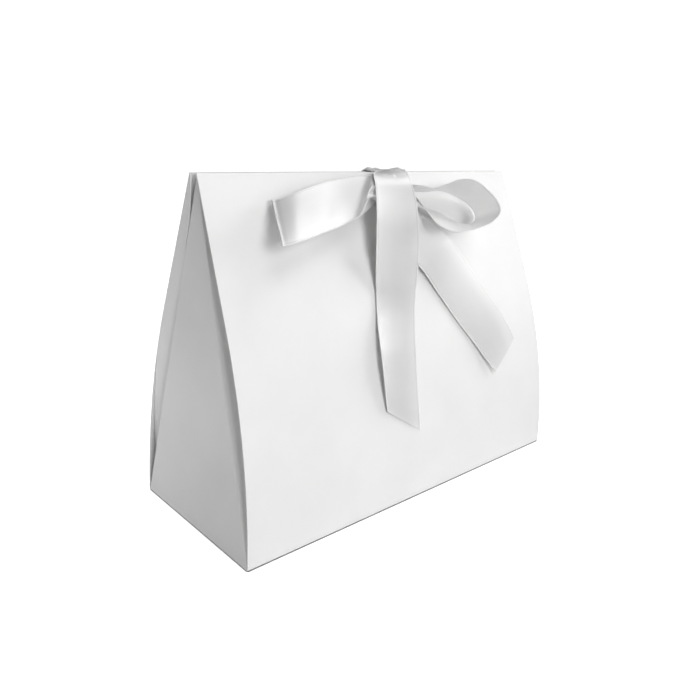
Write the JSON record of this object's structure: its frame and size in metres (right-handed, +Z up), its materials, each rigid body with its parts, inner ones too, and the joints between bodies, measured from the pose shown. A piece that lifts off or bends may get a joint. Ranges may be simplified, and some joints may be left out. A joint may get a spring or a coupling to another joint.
{
  "type": "favor box",
  "caption": "Tapered white card box with bowed front and back panels and triangular ends, closed at the top edge by a satin ribbon tied in a bow.",
  "frame": {"origin": "centre of the base panel's underside, on the table", "axes": "+Z up from the table, +X along the box to the right as seen from the front, -Y out of the front with the bow"},
  "size_m": [0.19, 0.08, 0.1439],
  "materials": {
    "card": "matt, smooth coated white card",
    "satin": "white double-face satin ribbon"
  },
  "bodies": {
    "base": {"base_panel": "card"},
    "front": {"front_panel": "card", "front_left_gusset": "card", "front_right_gusset": "card", "knot": "satin", "left_loop": "satin", "right_loop": "satin", "front_tail": "satin", "side_tail": "satin", "front_strap": "satin"},
    "back": {"back_panel": "card", "back_left_gusset": "card", "back_right_gusset": "card", "back_strap": "satin"},
    "left_end": {"left_end_panel": "card"},
    "right_end": {"right_end_panel": "card"},
    "left_wing": {"back_left_wing": "card"},
    "right_wing": {"back_right_wing": "card"}
  },
  "joints": [
    {"name": "front_fold", "type": "hinge", "parent": "base", "child": "front", "pos_m": [0, -0.03975, 0.00025], "axis": [1, 0, 0], "range_deg": [0, 88]},
    {"name": "back_fold", "type": "hinge", "parent": "base", "child": "back", "pos_m": [0, 0.03975, 0.00025], "axis": [-1, 0, 0], "range_deg": [0, 88]},
    {"name": "left_end_fold", "type": "hinge", "parent": "front", "child": "left_end", "pos_m": [-0.095, -0.0395, 0], "axis": [0.0443, 0.2695, 0.962], "range_deg": [0, 90]},
    {"name": "right_end_fold", "type": "hinge", "parent": "front", "child": "right_end", "pos_m": [0.095, -0.0395, 0], "axis": [0.0443, -0.2695, -0.962], "range_deg": [0, 90]},
    {"name": "left_wing_fold", "type": "hinge", "parent": "back", "child": "left_wing", "pos_m": [-0.08952, 0.03963, 0.00003], "axis": [0.0041, -0.261, 0.9653], "range_deg": [0, 60]},
    {"name": "right_wing_fold", "type": "hinge", "parent": "back", "child": "right_wing", "pos_m": [0.08952, 0.03963, 0.00003], "axis": [0.0041, 0.261, -0.9653], "range_deg": [0, 60]}
  ]
}
